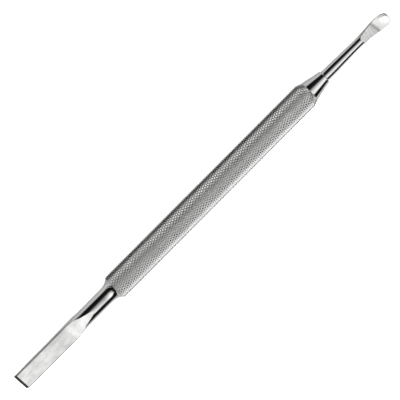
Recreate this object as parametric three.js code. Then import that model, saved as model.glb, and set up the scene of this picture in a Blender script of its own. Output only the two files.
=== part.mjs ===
// Double-ended cuticle pusher: a knurled hollow handle with a flat scraper blade fixed in one end and,
// through a conical ferrule, a curved spoon pusher fixed in the other.
// Units are millimetres. The tool lies along X with the spoon at +X, its working faces look up (+Z), and it
// rests on the lowest flat of the handle at Z = 0. X = 0 is the middle of its length.
import * as THREE from "three";

// ---- Driving dimensions ------------------------------------------------------------------------------
const END_X = 65; // the blade ends this far from the middle, and the raised spoon about as far
const SIDES = 32; // flats round every turned surface
const FACE_STEPS = 4; // segments across a flat or a working face
const EDGE_STEPS = 9; // segments from a working face round one edge to the back
const SEAT_GAP = 0.02; // air left between two faces that meet

const HANDLE_R = 3.5;
const HANDLE_X = [-31.3, 37.8]; // its two end faces
const HANDLE_CHAMFER = { length: 1.4, endR: 2.95 }; // at the ferrule end
const EDGE_BREAK = 0.15; // at the blade end
const BORE_R = 2.4;
const BORE_LEAD = 0.2; // lead-in chamfer at both mouths

const TENON = { r: 2.38, length: 12, lead: 0.4 };
const GLUE_GROOVE = { r: 2.2, width: 0.8, wall: 0.1, fromShoulder: [3, 6, 9] };

const CONE = { tipX: 42.8, tipR: 1.88, lipX: 43.3, lipR: 1.56 };
const SOCKET = { r: 1.5, bottomX: 32.4, pointX: 31.6 };

const TANG = { r: 1.47, endX: 32.7, lead: 0.3 };
const ROD = { r: 1.46, taperX: 46, middle: [49, 1.37], neckX: 52.5, neckR: 1.27, struckX: 54 };
const SPOON = { startX: 56, roundX: 63.2, tipX: 64.95, dish: 0.14, power: 3, rollDegrees: -3 };

const SHANK_R = 2.19;
const FLARE = { startX: -34.8, endR: 3.36, power: 2.8 };
const BLADE = { halfWidth: 2.35, squareX: -49.5, roundX: -42.5, squarePower: 8 };
const BEVEL = { length: 0.95, drop: 1.15 };

// ---- Helpers -----------------------------------------------------------------------------------------
const mix = (a, b, t) => a + (b - a) * t;
const between = (x, a, b) => Math.min(1, Math.max(0, (x - a) / (b - a)));
const smoothBetween = (x, a, b) => THREE.MathUtils.smoothstep(between(x, a, b), 0, 1);
const steel = (colour, roughness) =>
  new THREE.MeshStandardMaterial({ color: colour, roughness, metalness: 1 });

// A smooth curve through [x, value] pairs, read by x.
function curveThrough(...points) {
  const spline = new THREE.SplineCurve(points.map(([x, value]) => new THREE.Vector2(x, value)));
  const samples = spline.getPoints(points.length * 24);
  return (x) => {
    const next = Math.max(1, samples.findIndex((p) => p.x >= x));
    const [a, b] = x > samples.at(-1).x ? samples.slice(-2) : [samples[next - 1], samples[next]];
    return mix(a.y, b.y, between(x, a.x, b.x));
  };
}

// Turns a profile of [x, radius] points about X. The radii are those of the flats, and one flat is lowest.
function turned(profile) {
  const points = profile.map(([x, r]) => new THREE.Vector2(r / Math.cos(Math.PI / SIDES), x));
  return new THREE.LatheGeometry(points, SIDES, Math.PI / SIDES, 2 * Math.PI).rotateZ(-Math.PI / 2);
}

// One cross-section as [y, n] points, n up from the centreline. The stock is an oval of half-width w, height
// a and depth b, round at power 2 and squarer above it. A face cuts it at height face, hollowed by dish at
// its middle, and a flat cuts its back at height back.
function section({ w, a = w, b = w, power = 2, face = a, dish = 0, back = -b }) {
  const NARROWEST = 0.998; // an uncut face or back shrinks to a narrow strip at this share of the stock
  const onStock = (t) => {
    const bow = (v) => Math.sign(v) * Math.abs(v) ** (2 / power);
    return [w * bow(Math.cos(t)), (t > 0 ? a : b) * bow(Math.sin(t))];
  };
  const angleAt = (n) => {
    const share = Math.min(NARROWEST, Math.abs(n) / (n > 0 ? a : b));
    return Math.sign(n) * Math.asin(share ** (power / 2));
  };
  const [top, bottom] = [angleAt(face), angleAt(back)];
  const strip = (angle, from, hollow) => {
    const [edge, n] = onStock(angle);
    return Array.from({ length: FACE_STEPS }, (_, i) => {
      const u = from * (1 - (2 * i) / FACE_STEPS);
      return [u * edge, n - hollow * (1 - u * u)];
    });
  };
  const edge = (from, to, sideSign) =>
    Array.from({ length: EDGE_STEPS }, (_, i) => {
      const [y, n] = onStock(mix(from, to, i / EDGE_STEPS));
      return [sideSign * y, n];
    });
  const left = [...strip(top, 1, dish), ...edge(top, bottom, -1)];
  const right = [...strip(bottom, -1, 0), ...edge(bottom, top, 1)];
  return [...left, ...right];
}

// Joins sections into one closed solid. Each station has its x, the z of its centre, the slope of the
// centreline there in radians and the points of its section, which stands square to that slope.
function lofted(stations) {
  const ring = stations[0].points.length;
  const positions = [];
  const add = ({ x, z = 0, slope = 0 }, [y, n]) =>
    positions.push(x - n * Math.sin(slope), y, z + n * Math.cos(slope)) / 3 - 1;
  for (const station of stations)
    for (const point of station.points)
      add(station, point);
  const addMiddle = (station) =>
    add(station, [0, station.points.reduce((sum, [, n]) => sum + n, 0) / ring]);
  const [start, end] = [addMiddle(stations[0]), addMiddle(stations.at(-1))];
  const index = [];
  const lastRing = (stations.length - 1) * ring;
  for (let i = 0; i < ring; i++) {
    const j = (i + 1) % ring;
    for (let low = 0; low < lastRing; low += ring) {
      const high = low + ring;
      index.push(low + i, low + j, high + i, low + j, high + j, high + i);
    }
    index.push(start, j, i, end, lastRing + i, lastRing + j);
  }
  return new THREE.BufferGeometry()
    .setAttribute("position", new THREE.Float32BufferAttribute(positions, 3))
    .setIndex(index);
}

// A section's point turned about the centreline, its top toward +Y for a positive angle.
function rolled([y, n], angle) {
  const [s, c] = [Math.sin(angle), Math.cos(angle)];
  return [y * c + n * s, n * c - y * s];
}

const roundStation = ([x, r]) => ({ x, points: section({ w: r }) });

// A tenon's [x, radius] outline from its shoulder at x to its free end, toward +X or -X.
function tenonOutline(x, direction) {
  const at = (distance, r) => [x + direction * distance, r];
  const grooves = GLUE_GROOVE.fromShoulder.flatMap((d) => [
    at(d, TENON.r),
    at(d + GLUE_GROOVE.wall, GLUE_GROOVE.r),
    at(d + GLUE_GROOVE.width - GLUE_GROOVE.wall, GLUE_GROOVE.r),
    at(d + GLUE_GROOVE.width, TENON.r),
  ]);
  return [
    at(0, TENON.r),
    ...grooves,
    at(TENON.length - TENON.lead, TENON.r),
    at(TENON.length, TENON.r - TENON.lead),
  ];
}

// ---- Handle: a bored tube with a chamfer down to the ferrule -----------------------------------------
function handleTube() {
  const [start, end] = HANDLE_X;
  const profile = [
    [start, BORE_R + BORE_LEAD],
    [start, HANDLE_R - EDGE_BREAK],
    [start + EDGE_BREAK, HANDLE_R],
    [end - HANDLE_CHAMFER.length, HANDLE_R],
    [end, HANDLE_CHAMFER.endR],
    [end, BORE_R + BORE_LEAD],
    [end - BORE_LEAD, BORE_R],
    [start + BORE_LEAD, BORE_R],
  ];
  return turned([...profile, profile[0]]);
}

// ---- Ferrule: a cone on a tenon, drilled for the rod -------------------------------------------------
function coneFerrule() {
  const shoulder = HANDLE_X[1] + SEAT_GAP;
  const LIP_STEPS = 4; // the mouth's edge is rounded over a quarter turn
  const lip = Array.from({ length: LIP_STEPS + 1 }, (_, i) => {
    const turn = (i / LIP_STEPS) * (Math.PI / 2);
    return [
      mix(CONE.tipX, CONE.lipX, Math.sin(turn)),
      mix(CONE.lipR, CONE.tipR, Math.cos(turn)),
    ];
  });
  return turned([
    [shoulder - TENON.length, 0],
    ...tenonOutline(shoulder, -1).reverse(),
    [shoulder, HANDLE_CHAMFER.endR],
    ...lip,
    [CONE.lipX, SOCKET.r],
    [SOCKET.bottomX, SOCKET.r],
    [SOCKET.pointX, 0],
  ]);
}

// ---- Blade: round stock flared up to the handle, flattened to a scraper with a bevelled edge ---------
function bladeTip() {
  const shoulder = HANDLE_X[0] - SEAT_GAP;
  const face = curveThrough(
    [-65, 1.55], [-55, 1.5], [-50, 1.42], [-48.2, 1.4], [-46.4, 1.51], [-44.9, 1.62], [-43.2, 1.78],
    [-42.2, 1.91], [-41.2, 2.03], [-40.2, 2.12], [-38.6, SHANK_R],
  );
  const back = curveThrough(
    [-65, 0.1], [-57, 0], [-52, -0.12], [-48, -0.4], [-44, -0.95], [-41, -1.55], [-38.6, -SHANK_R],
  );
  const ground = (x) => {
    const square = 1 - smoothBetween(x, BLADE.squareX, BLADE.roundX);
    return {
      x,
      points: section({
        w: mix(SHANK_R, BLADE.halfWidth, square),
        a: SHANK_R,
        b: SHANK_R,
        power: mix(2, BLADE.squarePower, square),
        face: face(x) - BEVEL.drop * (1 - between(x, -END_X, -END_X + BEVEL.length)),
        back: back(x),
      }),
    };
  };
  const groundX = [
    -END_X, -END_X + BEVEL.length, -60, -55, -51.5, -49.5, -48.2, -47.2, -46.2, -45.2, -44.3, -43.5, -42.8,
    -42.1, -41.4, -40.7, -40, -39.3, -38.6,
  ];
  const FLARE_STEPS = 8;
  const flare = Array.from({ length: FLARE_STEPS + 1 }, (_, i) => {
    const share = i / FLARE_STEPS;
    return [mix(FLARE.startX, shoulder, share), mix(SHANK_R, FLARE.endR, share ** FLARE.power)];
  });
  const turnedEnd = [...flare, ...tenonOutline(shoulder, 1)];
  return lofted([...groundX.map(ground), ...turnedEnd.map(roundStation)]);
}

// ---- Spoon: a tapered rod struck into a dished paddle that curves up ---------------------------------
function spoonTip() {
  const rise = curveThrough(
    [ROD.struckX, 0], [55.8, 0.04], [57.3, 0.08], [58.6, 0.14], [59.7, 0.23], [60.45, 0.37], [61, 0.54],
    [62.2, 1.12], [63.4, 1.76], [65, 2.6],
  );
  const halfWidth = curveThrough(
    [55, 1.26], [57.3, 1.27], [58.6, 1.37], [59.8, 1.52], [61, 1.68], [62.1, 1.79], [63.2, 1.83], [65, 1.84],
  );
  const depth = curveThrough([55, 1.26], [57.3, 1.1], [59, 0.85], [61, 0.65], [63, 0.52], [65, 0.3]);
  const face = curveThrough(
    [56, 1.26], [56.4, 1.08], [57, 0.93], [57.8, 0.77], [58.8, 0.6], [59.9, 0.45], [61, 0.35],
    [62.2, 0.25], [63.4, 0.18], [65, 0.12],
  );
  const dish = curveThrough([55.8, 0], [57.5, 0.04], [61, 0.05], [63, SPOON.dish], [65, SPOON.dish]);
  const SLOPE_STEP = 0.1; // the distance over which the centreline's slope is measured
  const TIP_POWER = 2.5; // how square the outline of the tip is, 2 being an ellipse
  const struck = (x) => {
    const roundedIn = (1 - between(x, SPOON.roundX, SPOON.tipX) ** TIP_POWER) ** (1 / TIP_POWER);
    const points = section({
      w: halfWidth(x) * roundedIn,
      a: ROD.neckR,
      b: depth(x),
      power: mix(2, SPOON.power, smoothBetween(x, 56, 57.5)),
      face: face(x),
      dish: dish(x) * roundedIn ** 2,
    });
    const roll = THREE.MathUtils.degToRad(SPOON.rollDegrees) * smoothBetween(x, 60, 62.5);
    return {
      x,
      z: rise(x),
      slope: Math.atan((rise(x) - rise(x - SLOPE_STEP)) / SLOPE_STEP),
      points: points.map((point) => rolled(point, roll)),
    };
  };
  const rod = [
    [TANG.endX, TANG.r - TANG.lead],
    [TANG.endX + TANG.lead, TANG.r],
    [CONE.lipX, TANG.r],
    [CONE.lipX + SEAT_GAP, ROD.r],
    [ROD.taperX, ROD.r],
    ROD.middle,
    [ROD.neckX, ROD.neckR],
    [ROD.struckX, ROD.neckR],
  ];
  const struckX = [
    55, SPOON.startX, 56.2, 56.4, 56.7, 57.2, 57.8, 58.4, 59, 59.7, 60.4, 61.1, 61.8, 62.5, 63.1, 63.6, 64,
    64.3, 64.55, 64.75, 64.88, 64.93,
  ];
  return lofted([...rod.map(roundStation), ...struckX.map(struck)]);
}

// ---- Assembly ----------------------------------------------------------------------------------------
const tool = new THREE.Group();
const parts = [
  ["handle_tube", handleTube(), steel(0xb4b4b2, 0.38)],
  ["cone_ferrule", coneFerrule(), steel(0xd2d2d0, 0.12)],
  ["blade_tip", bladeTip(), steel(0xdcdcda, 0.16)],
  ["spoon_tip", spoonTip(), steel(0xd6d6d4, 0.12)],
];
for (const [name, geometry, material] of parts) {
  const mesh = new THREE.Mesh(geometry, material);
  mesh.name = name;
  tool.add(mesh);
}
tool.position.z = HANDLE_R;

export default tool;
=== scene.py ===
"""The looks of a double-ended cuticle pusher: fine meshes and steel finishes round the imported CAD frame."""
import math

import bmesh
import bpy
from mathutils import Matrix, Vector


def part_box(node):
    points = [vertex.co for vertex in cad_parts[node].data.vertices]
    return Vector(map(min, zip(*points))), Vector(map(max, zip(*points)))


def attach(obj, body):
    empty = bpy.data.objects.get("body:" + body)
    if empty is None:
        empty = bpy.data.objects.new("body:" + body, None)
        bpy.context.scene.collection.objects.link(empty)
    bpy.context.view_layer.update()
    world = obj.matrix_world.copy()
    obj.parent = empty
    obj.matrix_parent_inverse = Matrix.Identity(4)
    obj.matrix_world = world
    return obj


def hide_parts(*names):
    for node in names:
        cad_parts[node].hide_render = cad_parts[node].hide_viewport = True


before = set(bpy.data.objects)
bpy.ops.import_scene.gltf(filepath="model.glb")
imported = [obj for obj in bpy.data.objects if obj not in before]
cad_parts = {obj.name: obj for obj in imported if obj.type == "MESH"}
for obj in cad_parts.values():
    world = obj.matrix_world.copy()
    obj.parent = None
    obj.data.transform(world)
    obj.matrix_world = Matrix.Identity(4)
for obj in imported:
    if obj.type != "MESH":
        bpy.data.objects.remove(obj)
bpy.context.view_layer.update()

MM = 0.001
HANDLE_LOW, HANDLE_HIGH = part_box("handle_tube")
FERRULE_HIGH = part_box("cone_ferrule")[1]
BLADE_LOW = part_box("blade_tip")[0]
SPOON_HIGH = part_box("spoon_tip")[1]
AXIS_Z = (HANDLE_LOW.z + HANDLE_HIGH.z) / 2
HANDLE_R = (HANDLE_HIGH.z - HANDLE_LOW.z) / 2

# Lengths below are in millimetres until they are multiplied by MM.
SEAT_GAP = 0.02
BORE_R = 2.4
TENON_R = 2.38
TENON_LENGTH = 12
TENON_LEAD = 0.4
SHANK_R = 2.19
ROD_R = 1.46
SOCKET_R = 1.5
SOCKET_BOTTOM = 32.4
FINE_CORNER = 0.02  # the rounding left on an edge that looks sharp


# ---- Small helpers -------------------------------------------------------------------------------------
def mix(a, b, t):
    return a + (b - a) * t


def between(x, a, b):
    return min(1.0, max(0.0, (x - a) / (b - a)))


def smooth_between(x, a, b):
    t = between(x, a, b)
    return t * t * (3 - 2 * t)


def spread(a, b, steps):
    """Evenly spaced values from a to b, both included."""
    return [mix(a, b, i / steps) for i in range(steps + 1)]


def curve_through(*points):
    """A smooth curve through (x, value) pairs, monotone between them, read by x."""
    xs = [p[0] for p in points]
    ys = [p[1] for p in points]
    slopes = [(ys[i + 1] - ys[i]) / (xs[i + 1] - xs[i]) for i in range(len(xs) - 1)]
    tangents = [slopes[0]]
    for before, after in zip(slopes, slopes[1:]):
        same_way = before * after > 0
        tangents.append(2 * before * after / (before + after) if same_way else 0.0)
    tangents.append(slopes[-1])

    def read(x):
        x = min(xs[-1], max(xs[0], x))
        i = max(k for k in range(len(xs) - 1) if xs[k] <= x)
        width = xs[i + 1] - xs[i]
        t = (x - xs[i]) / width
        return (
            ys[i] * (1 + 2 * t) * (1 - t) ** 2
            + tangents[i] * width * t * (1 - t) ** 2
            + ys[i + 1] * t * t * (3 - 2 * t)
            + tangents[i + 1] * width * t * t * (t - 1)
        )

    return read


def piece(name, mesh, node, material, sharp_degrees=None):
    """Puts a finished mesh in the scene in place of its CAD node."""
    obj = bpy.data.objects.new(name, mesh)
    bpy.context.scene.collection.objects.link(obj)
    mesh.materials.append(material)
    for polygon in mesh.polygons:
        polygon.use_smooth = sharp_degrees is not None
    if sharp_degrees is not None:
        mesh.set_sharp_from_angle(angle=math.radians(sharp_degrees))
    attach(obj, "root")
    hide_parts(node)
    return obj


def mesh_from_rings(name, rings):
    """A closed tube through rings of points, each ring running the same way round."""
    bm = bmesh.new()
    rows = [[bm.verts.new(p) for p in ring] for ring in rings]
    count = len(rows[0])
    for low, high in zip(rows, rows[1:]):
        for i in range(count):
            j = (i + 1) % count
            bm.faces.new((low[i], low[j], high[j], high[i]))
    for row in (rows[0], rows[-1]):
        middle = bm.verts.new(sum((v.co for v in row), Vector()) / count)
        for i in range(count):
            bm.faces.new((row[i], row[(i + 1) % count], middle))
    bmesh.ops.recalc_face_normals(bm, faces=bm.faces)
    mesh = bpy.data.meshes.new(name)
    bm.to_mesh(mesh)
    bm.free()
    return mesh


def on_axis(x, r, angle):
    """The point at a radius from the handle's axis, its angle counted from straight up towards +Y."""
    return Vector((x * MM, r * MM * math.sin(angle), AXIS_Z + r * MM * math.cos(angle)))


# ---- Knurled handle ------------------------------------------------------------------------------------
KNURL_STARTS = 32  # grooves each way round
KNURL_PERIOD = 1.14  # along the handle
KNURL_DEPTH = 0.26
CREST = 0.2  # the flat left on a crest, as a share of half a period
CHAMFER_LENGTH = 1.4
CHAMFER_END_R = 2.95
CHAMFER_KNURL = 0.5  # the knurl's depth at the end of the chamfer, as a share of its full depth
EDGE_BREAK = 0.12
CLOSEST_RINGS = 0.03


def knurled_handle(material):
    """A tube under a diamond knurl, modelled between the edges of its crests and runs of its grooves."""
    start, end = HANDLE_LOW.x / MM, HANDLE_HIGH.x / MM
    radius = HANDLE_R / MM
    half_period = KNURL_PERIOD / 2
    chamfer_start = end - CHAMFER_LENGTH
    stops = (0.0, CREST, 1.0 - CREST)

    def turned_radius(x):
        on_chamfer = mix(radius, CHAMFER_END_R, between(x, chamfer_start, end))
        return min(on_chamfer, radius - EDGE_BREAK + between(x, start, start + EDGE_BREAK) * EDGE_BREAK)

    def cut_depth(x, a, b):
        u, v = (a + b) / 2, (b - a) / 2
        height = min(1 - abs(2 * (w % 1) - 1) for w in (u, v))
        share = between(height, 0.5 * CREST, 1 - CREST)
        return KNURL_DEPTH * (1 - share) * mix(1, CHAMFER_KNURL, between(x, chamfer_start, end))

    steps = math.ceil((end - start) / half_period)
    xs = [start + half_period * (i + s) for i in range(steps) for s in stops]
    xs = [x for x in xs if start + CLOSEST_RINGS < x < end - CLOSEST_RINGS]
    xs = sorted([start, *xs, start + EDGE_BREAK, chamfer_start, end])
    columns = [k + s for k in range(2 * KNURL_STARTS) for s in stops]
    bm = bmesh.new()

    def ring(x, radii):
        return [bm.verts.new(on_axis(x, r, math.pi * b / KNURL_STARTS)) for b, r in zip(columns, radii)]

    rows = []
    for x in xs:
        a = (x - start) / half_period
        rows.append((a, ring(x, [turned_radius(x) - cut_depth(x, a, b) for b in columns])))
    count = len(columns)
    for (a0, low), (a1, high) in zip(rows, rows[1:]):
        for i, b0 in enumerate(columns):
            j = (i + 1) % count
            b1 = columns[j] if j else 2 * KNURL_STARTS
            # each patch is split along the line that the nearest groove or crest edge follows
            middle_a, middle_b = (a0 + a1) / 2, (b0 + b1) / 2
            if (math.floor(middle_a) + math.floor(middle_b)) % 2 == 0:
                bm.faces.new((low[i], low[j], high[j]))
                bm.faces.new((low[i], high[j], high[i]))
            else:
                bm.faces.new((low[i], low[j], high[i]))
                bm.faces.new((low[j], high[j], high[i]))
    bore = [ring(x, [BORE_R] * count) for x in (start, end)]
    for low, high in ((rows[0][1], bore[0]), (bore[0], bore[1]), (bore[1], rows[-1][1])):
        for i in range(count):
            j = (i + 1) % count
            bm.faces.new((low[i], low[j], high[j], high[i]))
    bmesh.ops.recalc_face_normals(bm, faces=bm.faces)
    mesh = bpy.data.meshes.new("knurled_handle")
    bm.to_mesh(mesh)
    bm.free()
    return piece("knurled_handle", mesh, "handle_tube", material)


# ---- Polished ferrule ----------------------------------------------------------------------------------
CONE_FOOT_R = 2.93
CONE_TIP_R = 1.88
LIP_LENGTH = 0.5
LIP_R = 1.56


def polished_ferrule(material):
    """The cone from the handle down to the rod, its rounded lip and socket, and its tenon in the handle."""
    shoulder = HANDLE_HIGH.x / MM + SEAT_GAP
    lip = FERRULE_HIGH.x / MM
    cone_end = lip - LIP_LENGTH
    cone = curve_through(
        (shoulder, CONE_FOOT_R), (39.3, 2.61), (40.8, 2.3), (42.3, 1.98), (cone_end, CONE_TIP_R),
    )
    profile = [
        (shoulder - TENON_LENGTH, TENON_R - TENON_LEAD),
        (shoulder - TENON_LENGTH + TENON_LEAD, TENON_R),
        (shoulder, TENON_R),
        (shoulder, CONE_FOOT_R - 0.06),
        (shoulder + 0.05, CONE_FOOT_R),
    ]
    profile += [(x, cone(x)) for x in spread(shoulder + 0.1, cone_end, 24)]
    for t in spread(0, math.pi / 2, 8)[1:]:
        profile.append((cone_end + LIP_LENGTH * math.sin(t), mix(LIP_R, CONE_TIP_R, math.cos(t))))
    profile += [(lip, SOCKET_R), (SOCKET_BOTTOM, SOCKET_R)]
    around = 128
    rings = [[on_axis(x, r, 2 * math.pi * i / around) for i in range(around)] for x, r in profile]
    mesh = mesh_from_rings("polished_ferrule", rings)
    return piece("polished_ferrule", mesh, "cone_ferrule", material, 30)


# ---- Sections shared by both tips ----------------------------------------------------------------------
def section(
    w, a=None, b=None, power=2.0, face=None, dish=0.0, back=None, corner=FINE_CORNER, near_corner=None
):
    """One cross-section as (y, n) points, n up from the centreline.

    The stock is an oval of half-width w, height a and depth b, squarer above power 2. A face cuts it at
    height face, hollowed by dish in its middle, and a flat cuts its back; corner rounds their edges, and
    near_corner those on the -Y side where they differ.
    """
    ACROSS, CORNER, SIDE = 10, 5, 22  # steps across half a flat, round a corner and down a side
    NARROWEST = 0.99999  # an uncut face or back shrinks to a narrow strip at this share of the stock
    a = w if a is None else a
    b = w if b is None else b
    face = a if face is None else face
    back = -b if back is None else back
    face = min(face, a * NARROWEST)
    back = max(back, -b * NARROWEST)

    def half_width(n):
        share = abs(n) / (a if n > 0 else b)
        return w * (1 - min(1, share) ** power) ** (1 / power)

    def angle_at(n):
        share = min(1, abs(n) / (a if n > 0 else b))
        return math.copysign(math.asin(share ** (power / 2)), n)

    def on_stock(angle):
        def bow(v):
            return math.copysign(abs(v) ** (2 / power), v)
        return w * bow(math.cos(angle)), (a if angle > 0 else b) * bow(math.sin(angle))

    def half_outline(edge_r):
        """One side's points, from the middle of the face round to the middle of the back."""

        def rounding(n, towards_middle):
            r = min(edge_r, half_width(n) / 2)
            return r, half_width(n + towards_middle * r) - r

        face_r, face_end = rounding(face, -1)
        back_r, back_end = rounding(back, 1)
        turns = spread(0, math.pi / 2, CORNER)
        sides = spread(angle_at(face - face_r), angle_at(back + back_r), SIDE)[1:-1]
        points = [(u * face_end, face - dish * (1 - u * u)) for u in spread(0, 1, ACROSS)]
        points += [(face_end + face_r * math.sin(t), face - face_r + face_r * math.cos(t)) for t in turns[1:]]
        points += [on_stock(t) for t in sides]
        points += [(back_end + back_r * math.cos(t), back + back_r - back_r * math.sin(t)) for t in turns]
        points += [(u * back_end, back) for u in spread(1, 0, ACROSS)[1:]]
        return points

    near = half_outline(corner if near_corner is None else near_corner)
    return half_outline(corner) + [(-y, n) for y, n in reversed(near[1:-1])]


def turned_point(point, angle):
    """A section's point turned about the centreline, its top towards +Y for a positive angle."""
    y, n = point
    return y * math.cos(angle) + n * math.sin(angle), n * math.cos(angle) - y * math.sin(angle)


def placed(x, points, z=0.0, slope=0.0):
    """A section's points stood square to the centreline, which is at height z there and has that slope."""
    s, c = math.sin(slope), math.cos(slope)
    return [Vector(((x - n * s) * MM, y * MM, AXIS_Z + (z + n * c) * MM)) for y, n in points]


# ---- Scraper blade -------------------------------------------------------------------------------------
BLADE_HALF_WIDTH = 2.35
BLADE_SQUARE_TO = -49.5
BLADE_ROUND_FROM = -42.5
BLADE_POWER = 8
BLADE_CORNER = 0.33
GROUND_TO = -37.5
BEVEL_LENGTH = 0.95
BEVEL_DROP = 1.15
TIP_NICK = 0.1
TIP_NICK_LENGTH = 0.12
FLARE_START = -34.8
FLARE_R = 3.36
FLARE_POWER = 2.8


def scraper_blade(material):
    """The flat blade with its bevel, the round shank that it is ground from, the flare and the tenon."""
    shoulder = HANDLE_LOW.x / MM - SEAT_GAP
    edge_x = BLADE_LOW.x / MM
    face = curve_through(
        (-65, 1.55), (-55, 1.5), (-50, 1.42), (-48.2, 1.4), (-47.3, 1.43), (-46.4, 1.51), (-45.6, 1.58),
        (-44.9, 1.615), (-44.2, 1.665), (-43.2, 1.78), (-42.2, 1.91), (-41.2, 2.03), (-40.2, 2.12),
        (-39, 2.2),
    )
    back = curve_through(
        (-65, 0.1), (-57, 0.0), (-52, -0.12), (-48, -0.4), (-44, -0.95), (-41, -1.55), (-38.8, -2.05),
        (-37.5, -2.2),
    )
    nick_end = edge_x + TIP_NICK_LENGTH
    bevel_end = edge_x + BEVEL_LENGTH

    def ground(x):
        square = 1 - smooth_between(x, BLADE_SQUARE_TO, BLADE_ROUND_FROM)
        drop = BEVEL_DROP * (1 - between(x, edge_x, bevel_end))
        nick = TIP_NICK * (1 - between(x, edge_x, nick_end)) ** 2
        return placed(x, section(
            w=mix(SHANK_R, BLADE_HALF_WIDTH, square) - nick,
            a=SHANK_R,
            b=SHANK_R,
            power=mix(2, BLADE_POWER, square),
            face=face(x) - drop,
            back=back(x),
            corner=mix(FINE_CORNER, BLADE_CORNER, square),
        ))

    rings = [ground(x) for x in spread(edge_x, nick_end, 4)]
    rings += [ground(x) for x in spread(nick_end, bevel_end, 4)[1:]]
    rings += [ground(x) for x in spread(bevel_end + 0.04, -51, 24)]
    rings += [ground(x) for x in spread(-51, GROUND_TO, 110)[1:]]
    rings += [placed(x, section(SHANK_R)) for x in (-36.5, -35.5)]
    for u in spread(0, 1, 32):
        r = mix(SHANK_R, FLARE_R, u ** FLARE_POWER)
        rings.append(placed(mix(FLARE_START, shoulder, u), section(r)))
    tenon = [
        (shoulder, TENON_R),
        (shoulder + TENON_LENGTH - TENON_LEAD, TENON_R),
        (shoulder + TENON_LENGTH, TENON_R - TENON_LEAD),
    ]
    rings += [placed(x, section(r)) for x, r in tenon]
    mesh = mesh_from_rings("scraper_blade", rings)
    return piece("scraper_blade", mesh, "blade_tip", material, 22)


# ---- Spoon pusher --------------------------------------------------------------------------------------
TANG_R = 1.47
TANG_END = 32.7
TANG_LEAD = 0.3
STRUCK_FROM = 54
PADDLE_START = 56
PADDLE_POWER = 3
TIP_ROUND_X = 63.2
TIP_X = 64.95
TIP_POWER = 2.5  # how square the tip's outline is, 2 being an ellipse
TIP_CORNER = 0.18
RIM_CORNER = 0.3
NEAR_CORNER = 0.05
NEAR_TIP_CORNER = 0.2
TIP_ROLL = math.radians(-3)
SLOPE_STEP = 0.02  # half the distance over which the centreline's slope is measured


def spoon_pusher(material):
    """The tang, the tapering rod and the paddle struck from it, dished and curving up to a rounded tip."""
    lip = FERRULE_HIGH.x / MM
    rod = curve_through((lip, ROD_R), (46, ROD_R), (49, 1.37), (52.5, 1.28), (PADDLE_START, 1.26))
    rise = curve_through(
        (54, 0), (55.8, 0.04), (57.3, 0.08), (58.6, 0.14), (59.7, 0.23), (60.45, 0.37), (61, 0.54),
        (62.2, 1.12), (63.4, 1.76), (65, 2.6),
    )
    half_width = curve_through(
        (55, 1.26), (57.3, 1.27), (58.6, 1.37), (59.8, 1.52), (61, 1.68), (62.1, 1.79), (63.2, 1.83),
        (65, 1.84),
    )
    depth = curve_through((55, 1.26), (57.3, 1.1), (59, 0.85), (61, 0.65), (63, 0.52), (65, 0.48))
    dish = curve_through((55.8, 0), (57.5, 0.04), (61, 0.05), (63, 0.14), (65, 0.15))
    face = curve_through(
        (56, 1.26), (56.4, 1.08), (57, 0.93), (57.8, 0.77), (58.8, 0.6), (59.9, 0.45), (61, 0.35),
        (62.2, 0.25), (63.4, 0.18), (65, 0.12),
    )

    def struck(x):
        slope = math.atan((rise(x + SLOPE_STEP) - rise(x - SLOPE_STEP)) / (2 * SLOPE_STEP))
        turned_in = (1 - between(x, TIP_ROUND_X, TIP_X) ** TIP_POWER) ** (1 / TIP_POWER)
        end_round = 1 - between(TIP_X - x, 0, TIP_CORNER)
        lowered = TIP_CORNER * (1 - math.sqrt(1 - end_round ** 2))
        corner = mix(FINE_CORNER, TIP_CORNER, smooth_between(x, 55.9, 56.7))
        points = section(
            w=half_width(x) * turned_in,
            a=rod(PADDLE_START),
            b=depth(x) - lowered,
            power=mix(2, PADDLE_POWER, smooth_between(x, PADDLE_START, 57.5)),
            face=face(x) - lowered,
            dish=dish(x) * turned_in ** 2,
            corner=mix(corner, RIM_CORNER, smooth_between(x, 62.6, 64)),
            near_corner=mix(NEAR_CORNER, NEAR_TIP_CORNER, smooth_between(x, 60.8, 62.4)),
        )
        roll = TIP_ROLL * smooth_between(x, 60, 62.5)
        return placed(x, [turned_point(p, roll) for p in points], rise(x), slope)

    tang = [(TANG_END, TANG_R - TANG_LEAD), (TANG_END + TANG_LEAD, TANG_R), (lip, TANG_R)]
    rings = [placed(x, section(r)) for x, r in tang]
    rings += [placed(x, section(rod(x))) for x in spread(lip + SEAT_GAP, STRUCK_FROM, 24)]
    rings += [struck(x) for x in spread(STRUCK_FROM + 0.2, TIP_ROUND_X, 110)]
    last_turn = math.pi / 2 * 0.999  # just short of the very tip, where the outline has no width
    rings += [struck(mix(TIP_ROUND_X, TIP_X, math.sin(t))) for t in spread(0, last_turn, 34)[1:]]
    mesh = mesh_from_rings("spoon_pusher", rings)
    return piece("spoon_pusher", mesh, "spoon_tip", material, 30)


# ---- Steel finishes ------------------------------------------------------------------------------------
def new_material(name, colour, metallic, roughness):
    material = bpy.data.materials.new(name)
    material.use_nodes = True
    shader = material.node_tree.nodes["Principled BSDF"]
    shader.inputs["Base Color"].default_value = (*colour, 1)
    shader.inputs["Metallic"].default_value = metallic
    shader.inputs["Roughness"].default_value = roughness
    return material


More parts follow.
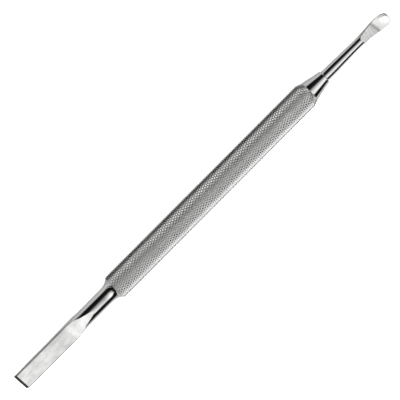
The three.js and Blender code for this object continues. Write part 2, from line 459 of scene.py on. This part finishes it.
class Finish:
    """Builds one steel finish's nodes. Positions are in the object's own metres."""

    def __init__(self, name):
        self.material = new_material(name, (0.88, 0.88, 0.87), metallic=1.0, roughness=0.2)
        self.tree = self.material.node_tree
        self.shader = self.tree.nodes["Principled BSDF"]
        coordinates = self.tree.nodes.new("ShaderNodeTexCoord")
        self.position = coordinates.outputs["Object"]
        split = self.tree.nodes.new("ShaderNodeSeparateXYZ")
        self.feed(self.position, split.inputs[0])
        self.x, self.y, self.z = (split.outputs[axis] for axis in "XYZ")
        self.above = self.maths("SUBTRACT", self.z, AXIS_Z)

    def feed(self, value, socket):
        """Links a node's output to a socket, or sets the socket to a plain number."""
        if isinstance(value, (int, float)):
            socket.default_value = value
        else:
            self.tree.links.new(value, socket)

    def maths(self, operation, a, b=0.0):
        node = self.tree.nodes.new("ShaderNodeMath")
        node.operation = operation
        self.feed(a, node.inputs[0])
        self.feed(b, node.inputs[1])
        return node.outputs[0]

    def remap(self, value, low, high, to_low, to_high):
        """Eases a value's range from low to high into another range."""
        node = self.tree.nodes.new("ShaderNodeMapRange")
        node.interpolation_type = "SMOOTHSTEP"
        settings = {"From Min": low, "From Max": high, "To Min": to_low, "To Max": to_high}
        for name, number in settings.items():
            node.inputs[name].default_value = number
        self.feed(value, node.inputs["Value"])
        return node.outputs["Result"]

    def blend(self, share, a, b):
        """a where share is 0 and b where it is 1."""
        return self.maths("ADD", a, self.maths("MULTIPLY", share, self.maths("SUBTRACT", b, a)))

    def noise(self, place, detail=3.0, roughness=0.5):
        """Noise of about unit grain at a place, centred on a half."""
        node = self.tree.nodes.new("ShaderNodeTexNoise")
        node.inputs["Scale"].default_value = 1.0
        node.inputs["Detail"].default_value = detail
        node.inputs["Roughness"].default_value = roughness
        self.feed(place, node.inputs["Vector"])
        return node.outputs["Fac"]

    def scaled(self, x, y, z):
        """The object's position counted in grains of the given sizes in millimetres."""
        node = self.tree.nodes.new("ShaderNodeVectorMath")
        node.operation = "MULTIPLY"
        self.feed(self.position, node.inputs[0])
        node.inputs[1].default_value = (1 / (x * MM), 1 / (y * MM), 1 / (z * MM))
        return node.outputs[0]

    def ring_marks(self, pitch, arc):
        """Fine marks running round the axis, pitch apart in millimetres and broken up every arc radians."""
        place = self.tree.nodes.new("ShaderNodeCombineXYZ")
        self.feed(self.maths("MULTIPLY", self.x, 1 / (pitch * MM)), place.inputs["X"])
        angle = self.maths("ARCTAN2", self.y, self.above)
        self.feed(self.maths("MULTIPLY", angle, 1 / arc), place.inputs["Y"])
        return self.noise(place.outputs[0], 2.0)

    def radius(self):
        """The distance from the handle's axis."""
        across = self.maths("MULTIPLY", self.y, self.y)
        up = self.maths("MULTIPLY", self.above, self.above)
        return self.maths("SQRT", self.maths("ADD", across, up))

    def colour(self, value):
        """Steel of that brightness, a trace warmer than neutral."""
        node = self.tree.nodes.new("ShaderNodeCombineColor")
        for channel, share in (("Red", 1.0), ("Green", 1.0), ("Blue", 0.988)):
            self.feed(self.maths("MULTIPLY", value, share), node.inputs[channel])
        self.feed(node.outputs["Color"], self.shader.inputs["Base Color"])

    def roughness(self, value):
        self.feed(value, self.shader.inputs["Roughness"])

    def bump(self, *layers):
        """Stacks (height, depth in millimetres) layers of bump."""
        last = None
        for height, depth in layers:
            node = self.tree.nodes.new("ShaderNodeBump")
            node.inputs["Strength"].default_value = 1.0
            node.inputs["Distance"].default_value = depth * MM
            self.feed(height, node.inputs["Height"])
            if last is not None:
                self.feed(last, node.inputs["Normal"])
            last = node.outputs["Normal"]
        self.feed(last, self.shader.inputs["Normal"])


def knurled_steel():
    """Matt rolled knurling, its crests rubbed brighter and its grooves holding a little grime."""
    finish = Finish("knurled_steel")
    outside = HANDLE_R / MM
    rubbed = 0.04  # how far down from the outside a crest is rubbed fully bright
    crest = finish.remap(finish.radius(), (outside - KNURL_DEPTH) * MM, (outside - rubbed) * MM, 0.0, 1.0)
    patches = finish.noise(finish.scaled(5, 2.5, 2.5), 3.0)
    grime = finish.remap(patches, 0.35, 0.65, 0.0, 1.0)
    grain = finish.noise(finish.scaled(0.09, 0.09, 0.09), 2.0)
    dents = finish.noise(finish.scaled(1.2, 1.2, 1.2))
    crest_bright = finish.remap(grain, 0.3, 0.7, 0.97, 1.0)
    finish.colour(finish.blend(crest, finish.blend(grime, 0.99, 0.94), crest_bright))
    crest_rough = finish.remap(patches, 0.3, 0.7, 0.2, 0.25)
    finish.roughness(finish.blend(crest, finish.blend(grime, 0.25, 0.32), crest_rough))
    finish.bump((grain, 0.002), (dents, 0.006))
    return finish.material


def ferrule_steel():
    """Mirror polish over faint turning marks."""
    finish = Finish("ferrule_steel")
    marks = finish.ring_marks(0.06, 1.5)
    patches = finish.noise(finish.scaled(3, 1.5, 1.5), 2.0)
    finish.colour(finish.remap(patches, 0.3, 0.7, 0.86, 0.91))
    hazy = finish.remap(patches, 0.3, 0.7, 0.05, 0.1)
    finish.roughness(finish.maths("ADD", hazy, finish.remap(marks, 0.4, 0.7, 0, 0.04)))
    finish.bump((marks, 0.0004), (patches, 0.006))
    return finish.material


def blade_steel():
    """A buffed, cloudy flat with lengthwise polishing lines; the round shank is polished brighter."""
    finish = Finish("blade_steel")
    flat = finish.remap(finish.x, -44 * MM, -40 * MM, 1.0, 0.0)
    clouds = finish.noise(finish.scaled(2.6, 1.5, 1.5), 3.0)
    lines = finish.noise(finish.scaled(3.0, 0.05, 0.05), 3.0)
    waves = finish.noise(finish.scaled(4.5, 3.0, 3.0), 1.0)
    marks = finish.ring_marks(0.07, 1.2)
    cloudy = finish.remap(clouds, 0.3, 0.7, 0.8, 0.95)
    lined = finish.maths("MULTIPLY", cloudy, finish.remap(lines, 0.3, 0.7, 0.97, 1.02))
    finish.colour(finish.blend(flat, finish.remap(waves, 0.3, 0.7, 0.86, 0.93), lined))
    hazy = finish.remap(clouds, 0.3, 0.7, 0.22, 0.14)
    buffed = finish.maths("ADD", hazy, finish.remap(lines, 0.3, 0.7, 0.0, 0.05))
    finish.roughness(finish.blend(flat, finish.remap(marks, 0.35, 0.7, 0.06, 0.11), buffed))
    scratches = finish.blend(flat, marks, lines)
    finish.bump((scratches, 0.0004), (clouds, 0.008), (waves, 0.03))
    return finish.material


def spoon_steel():
    """A polished rod; its struck end is ground across to a satin that grows glossier towards the tip, its
    colour darkened at the root by painted shade that fades out towards the tip.
    """
    finish = Finish("spoon_steel")
    ground = finish.remap(finish.x, 55.6 * MM, 56.6 * MM, 0.0, 1.0)
    towards_tip = finish.remap(finish.x, 59.5 * MM, 62 * MM, 0.0, 1.0)
    marks = finish.ring_marks(0.07, 1.2)
    strokes = finish.noise(finish.scaled(0.16, 2.4, 2.4), 3.0, 0.6)
    fine = finish.noise(finish.scaled(0.05, 0.6, 0.6), 2.0)
    patches = finish.noise(finish.scaled(1.6, 1.2, 1.2), 2.0)
    # painted shade: the struck end's colour is darker at its root, with stroke marks, and brightens back to
    # plain steel towards the tip
    root_painted_shade = finish.remap(strokes, 0.3, 0.7, 0.6, 0.78)
    tip_bright = finish.remap(strokes, 0.3, 0.7, 0.84, 0.95)
    satin = finish.blend(towards_tip, root_painted_shade, tip_bright)
    finish.colour(finish.blend(ground, finish.remap(patches, 0.3, 0.7, 0.86, 0.92), satin))
    root_rough = finish.remap(strokes, 0.3, 0.7, 0.26, 0.18)
    tip_rough = finish.remap(patches, 0.3, 0.7, 0.2, 0.12)
    dull = finish.blend(towards_tip, root_rough, tip_rough)
    finish.roughness(finish.blend(ground, finish.remap(marks, 0.35, 0.7, 0.06, 0.11), dull))
    finish.bump((finish.blend(ground, marks, fine), 0.0005), (strokes, 0.002), (patches, 0.012))
    return finish.material


knurled_handle(knurled_steel())
polished_ferrule(ferrule_steel())
scraper_blade(blade_steel())
spoon_pusher(spoon_steel())


# ---- Studio --------------------------------------------------------------------------------------------
STUDIO = 1500  # the cards and the soft light reach this far from the middle
SHEET_HEIGHT = 300
LIGHT_ACROSS = (  # degrees from straight up towards -Y, and the level there
    (-34, 0.0), (-27, 0.06), (-20, 0.18), (-13, 0.38), (-5, 0.6), (3, 0.74), (9, 0.86), (16, 0.96), (25, 1.0),
    (36, 1.0), (42, 0.8), (47, 0.0),
)
LIGHT_ALONG = (  # millimetres along the tool, and the level there
    (-900, 0.1), (-600, 0.5), (-420, 1.05), (-300, 1.25), (-175, 1.25), (-140, 0.98), (-95, 0.95),
    (-72, 0.75), (-46, 0.27), (-15, 0.45), (22, 0.85), (100, 0.98), (500, 1.0), (800, 0.6),
)
FILL_HEIGHT = 900
FILL_RADIANCE = 3.2
WORLD_STRENGTH = 0.006
ROOM = 2400
TABLE_Z = -1
SWEEP_Y = 400
SWEEP_HEIGHT = 62


def stage_mesh(name, corners, faces, material):
    mesh = bpy.data.meshes.new(name)
    mesh.from_pydata([Vector(c) * MM for c in corners], [], faces)
    mesh.materials.append(material)
    obj = bpy.data.objects.new(name, mesh)
    bpy.context.scene.collection.objects.link(obj)
    return obj


def level(x_range, y_range, z):
    """The corners of a level rectangle."""
    (x0, x1), (y0, y1) = x_range, y_range
    return [(x0, y0, z), (x1, y0, z), (x1, y1, z), (x0, y1, z)]


def glow(name, grey):
    material = bpy.data.materials.new(name)
    material.use_nodes = True
    nodes = material.node_tree.nodes
    nodes.clear()
    emission = nodes.new("ShaderNodeEmission")
    emission.inputs["Color"].default_value = (grey, grey, grey, 1)
    output = nodes.new("ShaderNodeOutputMaterial")
    material.node_tree.links.new(emission.outputs[0], output.inputs[0])
    return material


def seen_only_by(obj, camera=False, glossy=False):
    """Hides a staged object from every kind of ray but those named."""
    obj.visible_camera = camera
    obj.visible_glossy = glossy
    obj.visible_diffuse = False
    obj.visible_shadow = False
    obj.visible_transmission = False
    return obj


def card(name, corners, grey):
    """A studio card that only reflections see."""
    return seen_only_by(stage_mesh(name, corners, [(0, 1, 2, 3)], glow(name, grey)), glossy=True)


def graded(tree, value, stops):
    """A value looked up between (position, level) stops."""
    low, high = stops[0][0], stops[-1][0]
    share = tree.nodes.new("ShaderNodeMapRange")
    share.inputs["From Min"].default_value = low
    share.inputs["From Max"].default_value = high
    tree.links.new(value, share.inputs["Value"])
    ramp = tree.nodes.new("ShaderNodeValToRGB")
    tree.links.new(share.outputs["Result"], ramp.inputs["Fac"])
    elements = ramp.color_ramp.elements
    while len(elements) < len(stops):
        elements.new(0.5)
    for element, (position, grey) in zip(elements, stops):
        element.position = (position - low) / (high - low)
        element.color = (grey, grey, grey, 1)
    return ramp.outputs["Color"]


def light_sheet():
    """A bright sheet over the tool, seen only in reflections, dimmer towards its rim and over one band."""
    across = [(-SHEET_HEIGHT * math.tan(math.radians(angle)) * MM, grey) for angle, grey in LIGHT_ACROSS]
    across.sort()
    along = [(x * MM, grey) for x, grey in LIGHT_ALONG]
    x_range, y_range = ((stops[0][0] / MM, stops[-1][0] / MM) for stops in (along, across))
    corners = level(x_range, y_range, SHEET_HEIGHT)
    material = glow("sheet_light", 1.0)
    tree = material.node_tree
    position = tree.nodes.new("ShaderNodeNewGeometry")
    split = tree.nodes.new("ShaderNodeSeparateXYZ")
    tree.links.new(position.outputs["Position"], split.inputs[0])
    product = tree.nodes.new("ShaderNodeMath")
    product.operation = "MULTIPLY"
    tree.links.new(graded(tree, split.outputs["X"], along), product.inputs[0])
    tree.links.new(graded(tree, split.outputs["Y"], across), product.inputs[1])
    tree.links.new(product.outputs[0], tree.nodes["Emission"].inputs["Strength"])
    return seen_only_by(stage_mesh("light_sheet", corners, [(0, 1, 2, 3)], material), glossy=True)


def fill_light():
    """A wide soft light over everything that doesn't show in reflections."""
    data = bpy.data.lights.new("fill", "AREA")
    data.shape = "RECTANGLE"
    data.size = data.size_y = 2 * STUDIO * MM
    data.energy = FILL_RADIANCE * math.pi * data.size * data.size_y
    obj = bpy.data.objects.new("fill", data)
    bpy.context.scene.collection.objects.link(obj)
    obj.location = (0, 0, FILL_HEIGHT * MM)
    obj.visible_camera = False
    obj.visible_glossy = False


world = bpy.data.worlds.new("studio")
bpy.context.scene.world = world
world.use_nodes = True
world.node_tree.nodes["Background"].inputs["Color"].default_value = (1, 1, 1, 1)
world.node_tree.nodes["Background"].inputs["Strength"].default_value = WORLD_STRENGTH

floor_material = new_material("floor_white", (0.93, 0.93, 0.93), metallic=0.0, roughness=0.9)
floor = stage_mesh("floor", level((-ROOM, ROOM), (-ROOM, ROOM), 0), [(0, 1, 2, 3)], floor_material)
floor.visible_glossy = False
walls = [corner for z in (-10, ROOM) for corner in level((-ROOM, ROOM), (-ROOM, ROOM), z)]
sides = [(0, 1, 5, 4), (1, 2, 6, 5), (2, 3, 7, 6), (3, 0, 4, 7), (4, 5, 6, 7)]
seen_only_by(stage_mesh("backdrop", walls, sides, glow("backdrop_white", 1.0)), camera=True)

light_sheet()
fill_light()

card("table_card", level((-STUDIO, STUDIO), (-STUDIO, STUDIO), TABLE_Z), 0.56)
card("table_shade", level((-80, 80), (0, 9), TABLE_Z / 2), 0.4)
card("table_end", level((-STUDIO, -70), (-20, SWEEP_Y), TABLE_Z / 2), 0.05)
card("near_shade", level((-90, 20), (-STUDIO, -32), TABLE_Z / 2), 0.05)
far_sweep = [(x, SWEEP_Y, z) for x, z in (
    (-STUDIO, TABLE_Z), (STUDIO, TABLE_Z), (STUDIO, SWEEP_HEIGHT), (-STUDIO, SWEEP_HEIGHT)
)]
card("far_sweep", far_sweep, 0.45)

# ---- Camera --------------------------------------------------------------------------------------------
CAMERA_DISTANCE = 290
VIEW_WIDTH = 100.45
CAMERA_LEAN = math.radians(14.5)
TOOL_TILT = math.radians(45.12)
AIM = (-0.69, 0.32)

camera_data = bpy.data.cameras.new("camera")
camera = bpy.data.objects.new("camera", camera_data)
bpy.context.scene.collection.objects.link(camera)
bpy.context.scene.camera = camera
camera_data.sensor_width = 36
camera_data.lens = camera_data.sensor_width * CAMERA_DISTANCE / VIEW_WIDTH
camera_data.clip_start = 0.01
towards_camera = Vector((0, math.sin(CAMERA_LEAN), math.cos(CAMERA_LEAN)))
along = Vector((1, 0, 0))
across = towards_camera.cross(along)
right = along * math.cos(TOOL_TILT) - across * math.sin(TOOL_TILT)
up = along * math.sin(TOOL_TILT) + across * math.cos(TOOL_TILT)
place = Vector((AIM[0] * MM, AIM[1] * MM, AXIS_Z)) + towards_camera * CAMERA_DISTANCE * MM
camera.matrix_world = Matrix((
    (right.x, up.x, towards_camera.x, place.x),
    (right.y, up.y, towards_camera.y, place.y),
    (right.z, up.z, towards_camera.z, place.z),
    (0, 0, 0, 1),
))
bpy.context.scene.view_settings.view_transform = "Standard"
